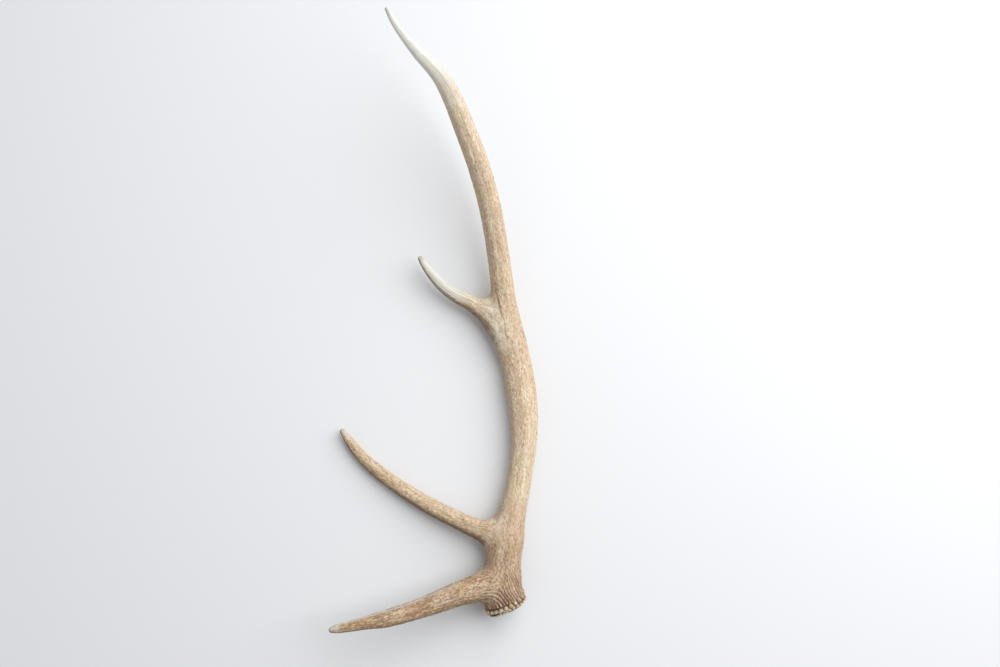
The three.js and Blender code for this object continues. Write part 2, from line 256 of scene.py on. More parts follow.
# Single marks: mask, path of (distance along, angle in degrees), half width, strength, depth.
LIMB_LINES = {
    "beam": [
        ("soil_and_shade", [(338, 118), (361, 116), (375, 122), (387, 127), (402, 141)], 1.1, 0.85, 0.6),
        ("soil_and_shade", [(350, 131), (372, 137), (392, 150)], 0.8, 0.45, 0.3),
        ("pale", [(336, 127), (352, 130), (372, 142)], 3.2, 0.6, 0.0),
        ("pale", [(138, 71), (160, 78), (186, 86)], 1.2, 0.75, 0.0),
        ("pale", [(188, 73), (215, 77), (246, 80)], 0.9, 0.5, 0.0),
        ("rust", [(294, 96), (314, 90)], 4.5, 1.0, 0.0),
        # Painted shade: a broad dark band down the beam's left face, below the trez fork.
        ("streak", [(150, 168), (250, 166), (345, 162)], 5.0, 1.0, 0.0),
        ("pale", [(90, 132), (112, 140), (128, 150)], 2.2, 0.6, 0.0),
        ("pale", [(410, 118), (520, 115), (640, 118)], 0.9, 0.45, 0.0),
        ("streak", [(405, 140), (520, 146), (660, 150)], 3.0, 0.8, 0.1),
        ("streak", [(425, 100), (560, 96), (720, 100)], 0.6, 1.0, 0.2),
        ("streak", [(450, 82), (600, 78), (690, 84)], 0.5, 0.9, 0.2),
        ("streak", [(470, 62), (620, 60), (700, 66)], 0.6, 0.8, 0.2),
    ],
    "brow": [
        # Painted highlight: a pale line along the brow tine's upper edge.
        ("pale", [(60, 30), (100, 24), (150, 22), (212, 24)], 2.4, 0.7, 0.0),
        ("pale", [(28, 112), (60, 106), (92, 100)], 0.9, 0.35, 0.0),
        ("soil_and_shade", [(24, 128), (55, 120), (84, 112)], 0.6, 0.5, 0.4),
        ("soil_and_shade", [(20, 146), (55, 138), (96, 128)], 0.6, 0.5, 0.4),
        ("soil_and_shade", [(20, 166), (60, 158), (80, 150)], 0.6, 0.4, 0.4),
    ],
    "bez": [
        ("soil_and_shade", [(30, 160), (90, 165), (200, 170)], 1.0, 0.4, 0.3),
        ("soil_and_shade", [(20, 138), (60, 146), (120, 150)], 0.7, 0.3, 0.2),
    ],
    "trez": [
        ("soil_and_shade", [(14, 130), (50, 142), (100, 150)], 0.6, 0.6, 0.25),
        ("soil_and_shade", [(20, 158), (60, 164), (120, 168)], 0.7, 0.6, 0.25),
        ("streak", [(40, 118), (85, 114), (135, 110)], 0.8, 1.0, 0.15),
        ("streak", [(30, 94), (90, 90), (130, 88)], 0.7, 1.0, 0.15),
        ("streak", [(50, 62), (110, 60)], 0.8, 1.0, 0.15),
    ],
}

# The studio: half the floor's width, each light's place and size, the colour of the
# surroundings, and the camera, with its turn in degrees. In metres, and millimetres of lens.
FLOOR_HALF = 8.0
LIGHTS = (
    ("key_light", (0.95, 0.6, 1.35), 2.5),
    ("fill_light", (-1.4, -0.9, 1.6), 1.8),
)
SKY_COLOUR = (0.95, 0.97, 1.0, 1.0)
CAMERA_PLACE = (-0.150775, -0.293466, 1.656656)
CAMERA_TURN = (10.118, -7.989, -1.421)
CAMERA_LENS = 47.08
CAMERA_SENSOR = 36.0

Sections = namedtuple("Sections", "along centre tangent side top wide deep")
Place = namedtuple("Place", "along angle gap oval")


def unit(vectors):
    """Vectors of length one."""
    return vectors / np.linalg.norm(vectors, axis=-1, keepdims=True)


def smooth_step(low, high, value):
    """0 before low, 1 past high, and 3t² - 2t³ in between. It falls when low is the larger."""
    t = np.clip((value - low) / (high - low), 0.0, 1.0)
    return t * t * (3.0 - 2.0 * t)


def spline(points, shares, slope=False):
    """Cubic through the points, each passed with half the step between its neighbours."""
    ends = (2 * points[0] - points[1], 2 * points[-1] - points[-2])
    padded = np.vstack([ends[0], points, ends[1]])
    place = np.clip(shares, 0.0, 1.0) * (len(points) - 1)
    first = np.minimum(place.astype(int), len(points) - 2)
    t = (place - first)[:, None]
    before, start, end, after = (padded[first + k] for k in range(4))
    leaving = 0.5 * (end - before)
    arriving = 0.5 * (after - start)
    if slope:
        bend = (6 * t * t - 6 * t) * (start - end)
        return bend + (3 * t * t - 4 * t + 1) * leaving + (3 * t * t - 2 * t) * arriving
    rise = 3 * t**2 - 2 * t**3
    curve = (t**3 - 2 * t**2 + t) * leaving + (t**3 - t**2) * arriving
    return (1 - rise) * start + rise * end + curve


class Limb:
    """A limb's centre line and girth, read by the distance along it."""

    def __init__(self, name, stations, blend, seed):
        rows = np.array(stations, float)
        self.name = name
        self.points = rows[:, :3]
        self.girths = rows[:, 3:]
        self.blend = blend
        self.seed = seed
        self.shares = np.linspace(0.0, 1.0, LENGTH_DIVISIONS + 1)
        steps = np.linalg.norm(np.diff(spline(self.points, self.shares), axis=0), axis=1)
        self.travelled = np.concatenate([[0.0], np.cumsum(steps)])
        self.length = self.travelled[-1]
        count = int(round(self.length / AXIS_STEP)) + 1
        self.table = self.sections(np.linspace(0.0, self.length, count))

    def sections(self, along):
        """Sections across the limb. Past either end the centre line runs straight on."""
        inside = np.clip(along, 0.0, self.length)
        shares = np.interp(inside, self.travelled, self.shares)
        tangent = unit(spline(self.points, shares, slope=True))
        centre = spline(self.points, shares) + (along - inside)[:, None] * tangent
        side = unit(np.cross(tangent, UP))
        top = unit(np.cross(side, tangent))
        girth = spline(self.girths, shares)
        return Sections(along, centre, tangent, side, top, girth[:, 0], girth[:, 1])


LIMBS = {
    "beam": Limb("beam", BEAM_STATIONS, 0.0, 11),
    "brow": Limb("brow", BROW_STATIONS, BROW_BLEND, 23),
    "bez": Limb("bez", BEZ_STATIONS, BEZ_BLEND, 37),
    "trez": Limb("trez", TREZ_STATIONS, TREZ_BLEND, 51),
}


def oval_radius(wide, deep, angle):
    """Radius of an ellipse with half axes wide and deep, at an angle from the wide one."""
    return wide * deep / np.hypot(deep * np.cos(angle), wide * np.sin(angle))


def furrowed(oval, along, angle):
    """The oval's radius times one plus five broad and eight narrow waves round the limb."""
    depth = FURROW_SHAFT + (FURROW_BASE - FURROW_SHAFT) * np.exp(-along / FURROW_FADE)
    broad = 0.6 * np.cos(5 * angle + 0.8 * np.sin(along / 60))
    narrow = 0.4 * np.cos(8 * angle - along / 90 + 1.3)
    return oval * (1 + depth * (broad + narrow))


def nearest_rows(table, points):
    """The section of a table whose centre is nearest to each point."""
    squares = (table.centre**2).sum(1)
    nearest = np.empty(len(points), int)
    for start in range(0, len(points), BLOCK):
        part = points[start : start + BLOCK]
        nearest[start : start + BLOCK] = (squares - 2 * part @ table.centre.T).argmin(1)
    return nearest


def locate(limb, points):
    """Where points lie on a limb: along it, the angle round it, the gap to its skin, its oval.

    The nearest section is moved on to the foot of the point's perpendicular."""
    table = limb.table
    first = nearest_rows(table, points)
    slip = ((points - table.centre[first]) * table.tangent[first]).sum(1)
    other = np.clip(first + np.sign(slip).astype(int), 0, len(table.along) - 1)
    span = table.along[other] - table.along[first]
    share = np.clip(slip / np.where(span == 0, 1.0, span), 0.0, 1.0) * (span != 0)

    def between(values):
        weight = share if values.ndim == 1 else share[:, None]
        return values[first] + (values[other] - values[first]) * weight

    along, wide, deep = (between(v) for v in (table.along, table.wide, table.deep))
    offset = points - between(table.centre)
    across = (offset * between(table.side)).sum(1)
    above = (offset * between(table.top)).sum(1)
    angle = np.arctan2(above, across)
    oval = oval_radius(wide, deep, angle)
    gap = np.linalg.norm(offset, axis=1) - furrowed(oval, along, angle)
    return Place(along, angle, gap, oval)


def blended(gaps):
    """The antler's field: the beam's gap, melted with each tine's by a rounded minimum."""
    field = gaps["beam"]
    for name in ("brow", "bez", "trez"):
        blend = LIMBS[name].blend
        overlap = np.maximum(blend - np.abs(field - gaps[name]), 0.0)
        field = np.minimum(field, gaps[name]) - overlap**2 / (4 * blend)
    return field


def all_places(points):
    """Each limb's Place for the points."""
    return {name: locate(limb, points) for name, limb in LIMBS.items()}


def field_at(points):
    """The blended field at points, and each limb's gap."""
    gaps = {name: place.gap for name, place in all_places(points).items()}
    return blended(gaps), gaps


def near_others(limb, sections):
    """Rows of a limb where another limb's skin could melt into its own."""
    own = np.maximum(sections.wide, sections.deep)
    near = np.zeros(len(own), bool)
    for other in LIMBS.values():
        if other is not limb:
            gap = locate(other, sections.centre).gap
            near |= gap < 1.1 * own + other.blend + limb.blend
    return near


def limb_surface(limb, along, sides):
    """A limb's bare skin: rows at distances along it, each point a ray's reach from the
    centre line. Rays near a fork walk out until the blended field is zero. Returns the
    points, and how far each is drawn in where another limb's skin lies on top."""
    sections = limb.sections(along)
    angles = np.arange(sides) * 2 * math.pi / sides
    turn = np.cos(angles)[None, :, None] * sections.side[:, None]
    rays = turn + np.sin(angles)[None, :, None] * sections.top[:, None]
    oval = oval_radius(sections.wide[:, None], sections.deep[:, None], angles[None])
    reach = furrowed(oval, sections.along[:, None], angles[None])
    reach = reach * tip_rounding(limb, along)[:, None]
    starts = sections.centre[:, None] + root_slant(limb, sections, rays * reach[..., None])
    dip = np.zeros_like(reach)
    near = near_others(limb, sections)
    if near.any():
        centres = starts[near].reshape(-1, 3)
        ways = rays[near].reshape(-1, 3)
        own = reach[near].ravel()
        found = MARCH_START * own
        for _ in range(MARCH_STEPS):
            field, _gaps = field_at(centres + found[:, None] * ways)
            found = np.clip(found - MARCH_SHARE * field, 0.1 * own, own + WEB_REACH)
        _field, gaps = field_at(centres + found[:, None] * ways)
        others = np.min([gap for name, gap in gaps.items() if name != limb.name], axis=0)
        covered = np.clip((gaps[limb.name] - others) * DIP_SLOPE, 0.0, DIP_DEPTH)
        reach[near] = found.reshape(-1, sides)
        dip[near] = covered.reshape(-1, sides)
    points = starts + reach[..., None] * rays
    return points, dip[..., None] * rays


def root_slant(limb, sections, offsets):
    """Shifts along the beam that turn its first rows parallel to the burr: -o·b / t·b for
    an offset o from the centre line, its direction t and the burr's axis b."""
    if limb.name != "beam":
        return np.zeros_like(offsets)
    fade = smooth_step(ROOT_SLANT, BEAM_START, sections.along)
    shift = -(offsets @ BURR_AXIS) / (sections.tangent @ BURR_AXIS)[:, None]
    return (shift * fade[:, None])[..., None] * sections.tangent[:, None]


def tip_rounding(limb, along):
    """1 along the limb, then a quarter ellipse down to the end of the rounded tip."""
    past = np.maximum(along - limb.length, 0.0) / tip_length(limb)
    return np.sqrt(np.clip(1.0 - past**2, 0.0, 1.0))


def tip_length(limb):
    """How far the rounded tip goes past the last station."""
    return 0.9 * limb.girths[-1, 0]


def tip_places(limb):
    """Distances of a rounded tip's rows, closer together towards the end."""
    turns = np.arange(1, TIP_ROWS + 1) / (TIP_ROWS + 1)
    return limb.length + tip_length(limb) * np.sin(turns * math.pi / 2)


def grid_normals(points):
    """Unit normals of a grid that closes on itself sideways, by central differences."""
    lengthwise = np.gradient(points, axis=0)
    sideways = np.roll(points, -1, axis=1) - np.roll(points, 1, axis=1)
    return unit(np.cross(lengthwise, sideways) + 1e-12)


class Noise:
    """Smooth gradient noise: random slopes on a unit lattice, joined by 6t⁵ - 15t⁴ + 10t³."""

    def __init__(self, seed):
        rng = np.random.RandomState(seed)
        self.shuffle = rng.permutation(256)
        self.slopes = unit(rng.normal(size=(256, 3)))
        self.seats = rng.rand(256, 3)

    def hashed(self, cell):
        """One of 256 numbers for each lattice cell."""
        column = self.shuffle[cell[:, 0] & 255]
        layer = self.shuffle[(column + cell[:, 1]) & 255]
        return self.shuffle[(layer + cell[:, 2]) & 255]

    def waves(self, points):
        """Noise between about -1 and 1."""
        low = np.floor(points).astype(int)
        part = points - low
        ease = part**3 * (part * (part * 6 - 15) + 10)
        total = np.zeros(len(points))
        for corner in np.ndindex(2, 2, 2):
            step = np.array(corner)
            slope = self.slopes[self.hashed(low + step)]
            weight = np.where(step == 1, ease, 1 - ease).prod(1)
            total += weight * (slope * (part - step)).sum(1)
        return total * 1.6

    def beads(self, points):
        """Distance from each point to the nearest of the seats, one in each lattice cell."""
        low = np.floor(points).astype(int)
        least = np.full(len(points), 9.0)
        for corner in np.ndindex(3, 3, 3):
            cell = low + np.array(corner) - 1
            seat = cell + self.seats[self.hashed(cell)]
            least = np.minimum(least, ((points - seat) ** 2).sum(1))
        return np.sqrt(least)


NOISES = {name: Noise(limb.seed) for name, limb in LIMBS.items()}
BASE_NOISE = Noise(77)


def line_mask(place, path, half_width):
    """1 on a line along the limb, falling as a bell curve to its sides and past its ends."""
    along, angle = np.array(path, float).T
    swing = place.angle - np.radians(np.interp(place.along, along, angle))
    swing = (swing + math.pi) % (2 * math.pi) - math.pi
    past = np.maximum(np.maximum(along[0] - place.along, place.along - along[-1]), 0.0)
    return np.exp(-((swing * place.oval / half_width) ** 2) - (past / (4 * half_width)) ** 2)


def limb_marks(name, place, shape):
    """Relief height and masks on one limb, in its straightened space (x, y round it, z along).

    Long furrows, thin streaks, blotches, flecks and elongated beads are all noise stretched
    along the limb; roughness fades them out towards the tips."""
    noise = NOISES[name]
    oval = place.oval
    across = np.stack([oval * np.cos(place.angle), oval * np.sin(place.angle)], axis=1)
    space = np.column_stack([across, place.along])
    waves = {
        key: noise.waves(space / (width, width, length) + shift)
        for key, (width, length, shift) in WAVES.items()
    }
    rough, white, brown, speckled = (
        np.interp(place.along, *np.array(table[name]).T)
        for table in (ROUGHNESS, WHITENESS, BROWNNESS, FLECKS)
    )
    # The left side, seen from above looking along the limb, faces away from the key light: its
    # extra brown, lost whiteness and extra streaks are partly the bone's browner underside,
    # partly painted shade.
    leftward = -np.cos(place.angle)
    left = LEFT_BROWN_AND_SHADE[name] * smooth_step(0.1, 1.0, leftward)
    brown = brown + 0.9 * left
    white = white * (1 - 0.6 * left)
    wander, blotch, fleck, speck = (waves[key] for key in ("wander", "blotch", "fleck", "speck"))
    furrow = waves["furrow"] + 0.5 * waves["groove"]
    streak = waves["streak"] + 0.45 * waves["hair"]
    bead = smooth_step(0.75, 0.2, noise.beads(space / (3.6, 3.6, 5.6)))
    dash = smooth_step(0.42, 0.22, noise.beads(space / (2.3, 2.3, 5.6) + 83.5))
    height = shape["furrow"] * (0.35 + 0.65 * rough) * furrow
    height = height + shape["bead"] * rough * (bead - 0.35 + 0.35 * fleck + 0.3 * speck)
    flecks = 0.12 * blotch + 0.09 * fleck + 0.36 * speck + 0.12 * streak
    worn = white + (0.25 * wander + 0.3 * streak) * (1 - 0.7 * white)
    grooves = 0.45 * smooth_step(0.55, 1.15, -furrow) * (0.25 + 0.75 * rough)
    # Painted shade, partly grime: a dark band along the limb's left edge.
    left_shade_and_grime = LEFT_SHADE_AND_GRIME[name] * smooth_step(0.62, 0.93, leftward) * (0.85 + 0.4 * blotch)
    end = smooth_step(-7.0, -1.0, place.along - LIMBS[name].length) * (0.7 + 0.6 * fleck)
    marks = {
        "height": height,
        "tone": 0.66 - 0.3 * brown + speckled * flecks,
        "streak": smooth_step(0.1, 0.9, streak + 0.3 * furrow) * (1 - 0.5 * white) + 0.4 * left,
        "dash": dash * smooth_step(-0.35, 0.3, wander + 0.4 * blotch) * (1 - 0.85 * white),
        "pale": smooth_step(0.12, 0.95, worn) * smooth_step(0.02, 0.1, white),
        # Grime in grooves and at the tip, and the band of painted shade along the left edge.
        "soil_and_shade": np.maximum(np.maximum(grooves, left_shade_and_grime), TIP_SOIL[name] * end),
        "rust": smooth_step(0.25, 0.8, waves["rust"]),
        "ochre": OCHRE[name] + 0.5 * waves["ochre"] + 0.35 * fleck,
        "rose": smooth_step(0.0, 0.75, waves["rose"]) * (1 - white),
    }
    for key, path, half_width, strength, depth in LIMB_LINES[name]:
        line = line_mask(place, path, half_width)
        broken = np.clip(0.75 + 0.8 * streak, 0.2, 1.0) * strength * line
        marks[key] = np.maximum(marks[key], broken)
        marks["height"] = marks["height"] - depth * line
    return marks


def burr_frame():
    """Directions across the burr (towards +X), along its axis, and through it."""
    side = unit(np.cross(BURR_AXIS, UP))
    return side, BURR_AXIS, np.cross(side, BURR_AXIS)


def wrinkles(points):
    """Ridges that rise between the pearls: straight up the beam on the far side, and as
    arcs about the corner under the brow tine, then along that tine. The label counts
    them round the ring: it is the angle whose cosine is r / ring - 1, where r is the
    distance from the corner. Returns the ridge (1 on a crest, 0 in a groove), its strength,
    and how much the bone flares out to meet the pearls."""
    side, axis, through = burr_frame()
    offset = points - BURR_CENTRE
    x = offset @ side
    y = offset @ axis - WRINKLE_LEVEL
    z = offset @ through
    ring = PEARL_RING * BURR_STRETCH
    from_corner = x - WRINKLE_CORNER
    brow_way = unit(LIMBS["brow"].points[4] - LIMBS["brow"].points[2])
    brow = np.array([brow_way @ side, brow_way @ axis])
    brow = brow / np.linalg.norm(brow)
    upright = np.array([brow[1], -brow[0]])
    past = from_corner * brow[0] + y * brow[1]
    rise = from_corner * upright[0] + y * upright[1]
    fan = np.where(past > 0, rise, np.hypot(from_corner, y))
    fan_label = np.arccos(np.clip(fan / ring - 1.0, -1.0, 1.0))
    straight_label = np.abs(np.arctan2(z, x))
    left = smooth_step(1.0, 2.1, straight_label)
    label = straight_label + (fan_label - straight_label) * left
    warp = 0.5 * BASE_NOISE.waves(points / 15.0) + 0.18 * BASE_NOISE.waves(points / 6.0 + 9.0)
    label = label * WRINKLE_COUNT / (2 * math.pi) + warp
    arc = fan * np.arctan2(np.maximum(y, 0.0), from_corner)
    travel = np.maximum(y, 0.0) * (1 - left) + left * np.maximum(arc, 0.0)
    travel = travel + np.maximum(past, 0.0) * WRINKLE_BROW_FADE
    patchy = 0.8 + 0.5 * BASE_NOISE.waves(points / 14.0 + 5.0)
    started = smooth_step(*WRINKLE_START, y)
    strength = np.exp(-((travel / WRINKLE_REACH) ** 2)) * patchy * started
    ridge = np.abs(np.cos(math.pi * label)) ** 0.7
    flare = np.exp(-((np.maximum(y, 0.0) / FLARE_REACH) ** 2)) * started
    return ridge, np.clip(strength, 0.0, 1.0), flare


def antler_marks(points, shape):
    """Relief and masks at points of the bare skin. Each limb's own marks are weighed by how
    near it is, so that skins that meet carry the same marks."""
    places = all_places(points)
    gaps = np.array([place.gap for place in places.values()])
    least = gaps.min(0)
    weights = np.exp(-(gaps - least) / 3.0)
    weights = np.where(weights > 0.01, weights, 0.0)
    weights = weights / weights.sum(0)
    total = {}
    for (name, place), weight in zip(places.items(), weights):
        used = weight > 0
        if used.any():
            part = limb_marks(name, Place(*(values[used] for values in place)), shape)
            for key, values in part.items():
                total.setdefault(key, np.zeros(len(points)))[used] += weight[used] * values
    breaks = 0.75 + 0.8 * BASE_NOISE.waves(points / 7.0) + 0.9 * BASE_NOISE.waves(points / 2.2)
    breaks = breaks - 0.6 * total["streak"]
    pale_web = sum(weight * WEB_PALE[name] for name, weight in zip(places, weights))
    web = smooth_step(0.5, 6.0, least) * np.clip(breaks, 0.05, 1.0) * pale_web
    total["tone"] = total["tone"] + 0.5 * web
    total["pale"] = np.maximum(total["pale"], 0.42 * web)
    ridge, strength, flare = wrinkles(points)
    total["height"] = total["height"] * (1 - 0.5 * strength) + FLARE_HEIGHT * flare
    total["height"] += shape["wrinkle"] * strength * (ridge - 0.72)
    crease = smooth_step(0.8 + 0.12 * flare, 0.3 + 0.2 * flare, ridge) * strength
    total["soil_and_shade"] = np.maximum(total["soil_and_shade"], 0.95 * crease)
    total["tone"] = total["tone"] + 0.2 * strength * (ridge - 0.8)
    total["pale"] = total["pale"] * (1 - strength)
    return total


def shape_values(context):
    """The relief sizes that the panel sets, in millimetres."""
    sizes = context.scene.antler_shape
    return {
        "pearls": sizes.pearl_count,
        "pearl": sizes.pearl_height / MM,
        "wrinkle": sizes.wrinkle_depth / MM,
        "bead": sizes.bead_height / MM,
        "furrow": sizes.furrow_depth / MM,
    }


def dressed_surface(limb, along, sides, shape):
    """A limb's finished skin: the bare surface moved along its normals by the relief, kept
    above the ground, then drawn in under its neighbours. Also its normals and masks."""
    bare, dip = limb_surface(limb, along, sides)
    marks = antler_marks(bare.reshape(-1, 3), shape)
    masks = {key: values.reshape(bare.shape[:2]) for key, values in marks.items()}
    height = masks.pop("height")
    points = bare + height[..., None] * grid_normals(bare)
    points[..., 2] = np.maximum(points[..., 2], 0.0)
    normals = grid_normals(points)
    points = points - dip
    points[..., 2] = np.maximum(points[..., 2], 0.0)
    return points, normals, masks


def grid_faces(rows, sides):
    """Quads between rows that close sideways, then a fan of triangles at each pole."""
    k = np.arange(sides)
    after = (k + 1) % sides
    start = (np.arange(rows - 1) * sides)[:, None]
    quads = np.stack([start + k, start + sides + k, start + sides + after, start + after], -1)
    root, tip, last = rows * sides, rows * sides + 1, (rows - 1) * sides
    root_fan = np.stack([np.full(sides, root), k, after], -1)
    tip_fan = np.stack([np.full(sides, tip), last + after, last + k], -1)
    return quads.reshape(-1, 4), np.vstack([root_fan, tip_fan])


def grid_piece(name, points, normals, masks, poles):
    """A closed mesh object from a grid and its two pole points, in metres, with its masks
    as attributes and the grid's own normals."""
    rows, sides = points.shape[:2]
    quads, fans = grid_faces(rows, sides)
    vertices = np.vstack([points.reshape(-1, 3), poles]) * MM
    corners = np.concatenate([quads.ravel(), fans.ravel()])
    sizes = np.concatenate([np.full(len(quads), 4), np.full(len(fans), 3)])
    mesh = bpy.data.meshes.new(name)
    mesh.vertices.add(len(vertices))
    mesh.vertices.foreach_set("co", vertices.ravel())
    mesh.loops.add(len(corners))
    mesh.loops.foreach_set("vertex_index", corners)
    mesh.polygons.add(len(sizes))
    mesh.polygons.foreach_set("loop_start", np.concatenate([[0], np.cumsum(sizes)[:-1]]))
    mesh.polygons.foreach_set("use_smooth", np.ones(len(sizes), bool))
    mesh.update(calc_edges=True)
    mesh.validate()
    for key, values in masks.items():
        ends = [values[0].mean(), values[-1].mean()]
        layer = mesh.attributes.new(f"bone_{key}", "FLOAT", "POINT")
        layer.data.foreach_set("value", np.concatenate([values.ravel(), ends]))
    first = unit(normals[0].mean(0) - (points[1] - points[0]).mean(0))
    final = unit((points[-1] - points[-2]).mean(0) + 1e-9)
    mesh.normals_split_custom_set_from_vertices(
        np.vstack([normals.reshape(-1, 3), first, final])
    )
    piece = bpy.data.objects.new(name, mesh)
    bpy.context.scene.collection.objects.link(piece)
    return piece


def settle(piece, material, slot, *nodes):
    """Gives a piece its material, and ties it to the frame."""
    piece.data.materials.append(material)
    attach(piece, "root")
    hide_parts(*nodes)


def make_beam(shape, material):
    """The main beam, worked out as one surface and parted at the cut, where both pieces
    share one row of points and its normals."""
    limb = LIMBS["beam"]
    lower = np.linspace(BEAM_START, BEAM_CUT, BEAM_ROWS)
    upper = np.linspace(BEAM_CUT, limb.length, BEAM_ROWS)[1:]
    along = np.concatenate([lower, upper, tip_places(limb)])
    points, normals, masks = dressed_surface(limb, along, BEAM_SIDES, shape)
    cut = limb.sections(np.array([BEAM_CUT])).centre[0]
    root = limb.sections(np.array([BEAM_START])).centre[0]
    tip = limb.sections(np.array([limb.length + tip_length(limb)])).centre[0]
    for name, rows, poles, slot, node in (
        ("lower_beam_bone", slice(0, BEAM_ROWS), (root, cut), "brown_bone", "lower_beam"),
        ("upper_beam_bone", slice(BEAM_ROWS - 1, None), (cut, tip), "tan_bone", "upper_beam"),
    ):
        part = {key: values[rows] for key, values in masks.items()}
        piece = grid_piece(name, points[rows], normals[rows], part, np.array(poles))
        settle(piece, material, slot, node)


def make_tine(name, shape, material, slot):
    """A tine, from inside the beam to its rounded tip."""
    limb = LIMBS[name]
    rows, sides = TINE_GRIDS[name]
    along = np.concatenate([np.linspace(0.0, limb.length, rows), tip_places(limb)])
    points, normals, masks = dressed_surface(limb, along, sides, shape)
    ends = limb.sections(np.array([0.0, limb.length + tip_length(limb)])).centre
    piece = grid_piece(f"{name}_tine_bone", points, normals, masks, ends)
    settle(piece, material, slot, f"{name}_tine")


def scatter(index, salt):
    """A fixed scatter between -1 and 1."""
    return np.sin(index * 12.9898 + salt * 78.233)


def bead_reach(turn, height, count, ring, sizes, level, salt, upper=1.0):
    """Outer radius of a ring of egg-shaped beads, at an angle and height. Each bead's is
    its own ring radius plus radial size times sqrt(1 - (t / a)² - (h / b)²), with b longer
    by a factor above its middle. Also the term under the root: 1 on a bead's middle."""
    index = np.arange(count)
    seat = 2 * math.pi * (index + 0.22 * scatter(index, 1 + salt)) / count
    growth = 1 + 0.22 * scatter(index, 2 + salt)
    outer = np.maximum(np.cos(seat), 0.0) ** OUTER_FALLOFF
    radius = ring - 1.2 + 1.0 * scatter(index, 3 + salt) + OUTER_BULGE * outer
    middle = level + 1.3 * scatter(index, 4 + salt) + OUTER_RISE * outer
    swing = (turn[:, None] - seat + math.pi) % (2 * math.pi) - math.pi
    tangential = swing * ring / sizes[1]
    vertical = (height[:, None] - middle) / (sizes[2] * growth)
    vertical = np.where(vertical > 0, vertical / upper, vertical)
    dome = np.clip(1 - tangential**2 - vertical**2, 0.0, 1.0)
    reach = np.where(dome > 0, radius + sizes[0] * growth * np.sqrt(dome), 0.0)
    return reach.max(1), dome.max(1)


def make_burr(shape, material):
    """The burr: a profile turned about its axis, with a rough seal below, a ring of tall
    pearls, and rings of smaller beads under them."""
    rows, sides = BURR_GRID
    profile = np.array(BURR_PROFILE, float)
    outline = spline(profile, np.linspace(0.0, 1.0, rows + 2)[1:-1])
    turns = np.arange(sides)[::-1] * 2 * math.pi / sides
    radius = np.repeat(outline[:, :1], sides, axis=1).ravel()
    height = np.repeat(outline[:, 1:], sides, axis=1).ravel()
    turn = np.tile(turns, rows)
    tall = (shape["pearl"], PEARL_WIDTH, PEARL_WIDTH)
    uneven = turn + PEARL_WOBBLE * scatter(np.round(height * 2) / 2, 9)
    reach, dome = bead_reach(
        uneven, height, shape["pearls"], PEARL_RING, tall, PEARL_LEVEL, 0, PEARL_UPPER
    )
    cap = dome
    for salt, (count, ring, sizes, level) in enumerate(BEAD_ROWS, 5):
        beads, low_dome = bead_reach(turn, height, count, ring, sizes, level, salt)
        reach = np.maximum(reach, beads)
        dome = np.maximum(dome, low_dome)
        cap = np.maximum(cap, 0.8 * low_dome)
    rim = smooth_step(14.0, 20.0, radius)
    raised = np.maximum(radius, reach * (rim > 0))
    grown = radius + (raised - radius) * rim
    side, axis, through = burr_frame()
    ring_way = np.cos(turn)[:, None] * side * BURR_STRETCH - np.sin(turn)[:, None] * through
    bare = BURR_CENTRE + grown[:, None] * ring_way + height[:, None] * axis
    coarse = BASE_NOISE.waves(bare / 3.2)
    fine = BASE_NOISE.waves(bare / 1.3 + 4.0)
    seal = smooth_step(21.0, 17.0, radius) * (height < 0)
    bump = (0.4 + 0.5 * seal) * coarse + 0.22 * fine
    points = bare.reshape(rows, sides, 3)
    points = points + bump.reshape(rows, sides, 1) * grid_normals(points)
    points[..., 2] = np.maximum(points[..., 2], 0.0)
    gaps = smooth_step(0.34, 0.04, dome)
    cream = smooth_step(0.5, 0.84, cap + 0.35 * coarse)
    cream = cream * smooth_step(-0.4, 0.1, BASE_NOISE.waves(bare / 6.5 + 2.0))
    masks = {
        "tone": 0.42 + 0.2 * coarse + 0.22 * fine,
        "streak": np.zeros(len(turn)),
        "dash": np.zeros(len(turn)),
        "pale": np.maximum(0.9 * cream * rim, 0.3 * seal),
        "soil_and_shade": 0.9 * gaps * rim + 0.3 * seal * smooth_step(0.0, 0.7, -coarse),
        "rust": smooth_step(0.0, 0.6, coarse) * 0.5,
        "ochre": 0.5 + 0.5 * coarse,
        "rose": np.zeros(len(turn)),
    }
    masks = {key: values.reshape(rows, sides) for key, values in masks.items()}
    ends = BURR_CENTRE + profile[[0, -1], 1][:, None] * axis
    piece = grid_piece("burr_crown", points, grid_normals(points), masks, ends)
    settle(piece, material, "brown_bone", "lower_beam")


def add_node(tree, kind, **settings):
    """A shader node with its settings and input values."""
    node = tree.nodes.new(kind)
    for key, value in settings.items():
        if hasattr(node, key):
            setattr(node, key, value)
        else:
            node.inputs[key.replace("_", " ")].default_value = value
    return node


def add_math(tree, operation, first, second, clamp=False):
    """A Math node fed by sockets or numbers."""
    node = add_node(tree, "ShaderNodeMath", operation=operation, use_clamp=clamp)
    for socket, value in zip(node.inputs, (first, second)):
        if isinstance(value, (int, float)):
            socket.default_value = value
        else:
            tree.links.new(value, socket)
    return node.outputs[0]


def add_mix(tree, share, first, second, blend="MIX"):
    """A colour that goes from the first to the second by share, or is multiplied by it."""
    node = add_node(tree, "ShaderNodeMix", data_type="RGBA", blend_type=blend)
    for index, value in ((0, share), (6, first), (7, second)):
        if isinstance(value, bpy.types.NodeSocket):
            tree.links.new(value, node.inputs[index])
        else:
            node.inputs[index].default_value = value
    return node.outputs[2]


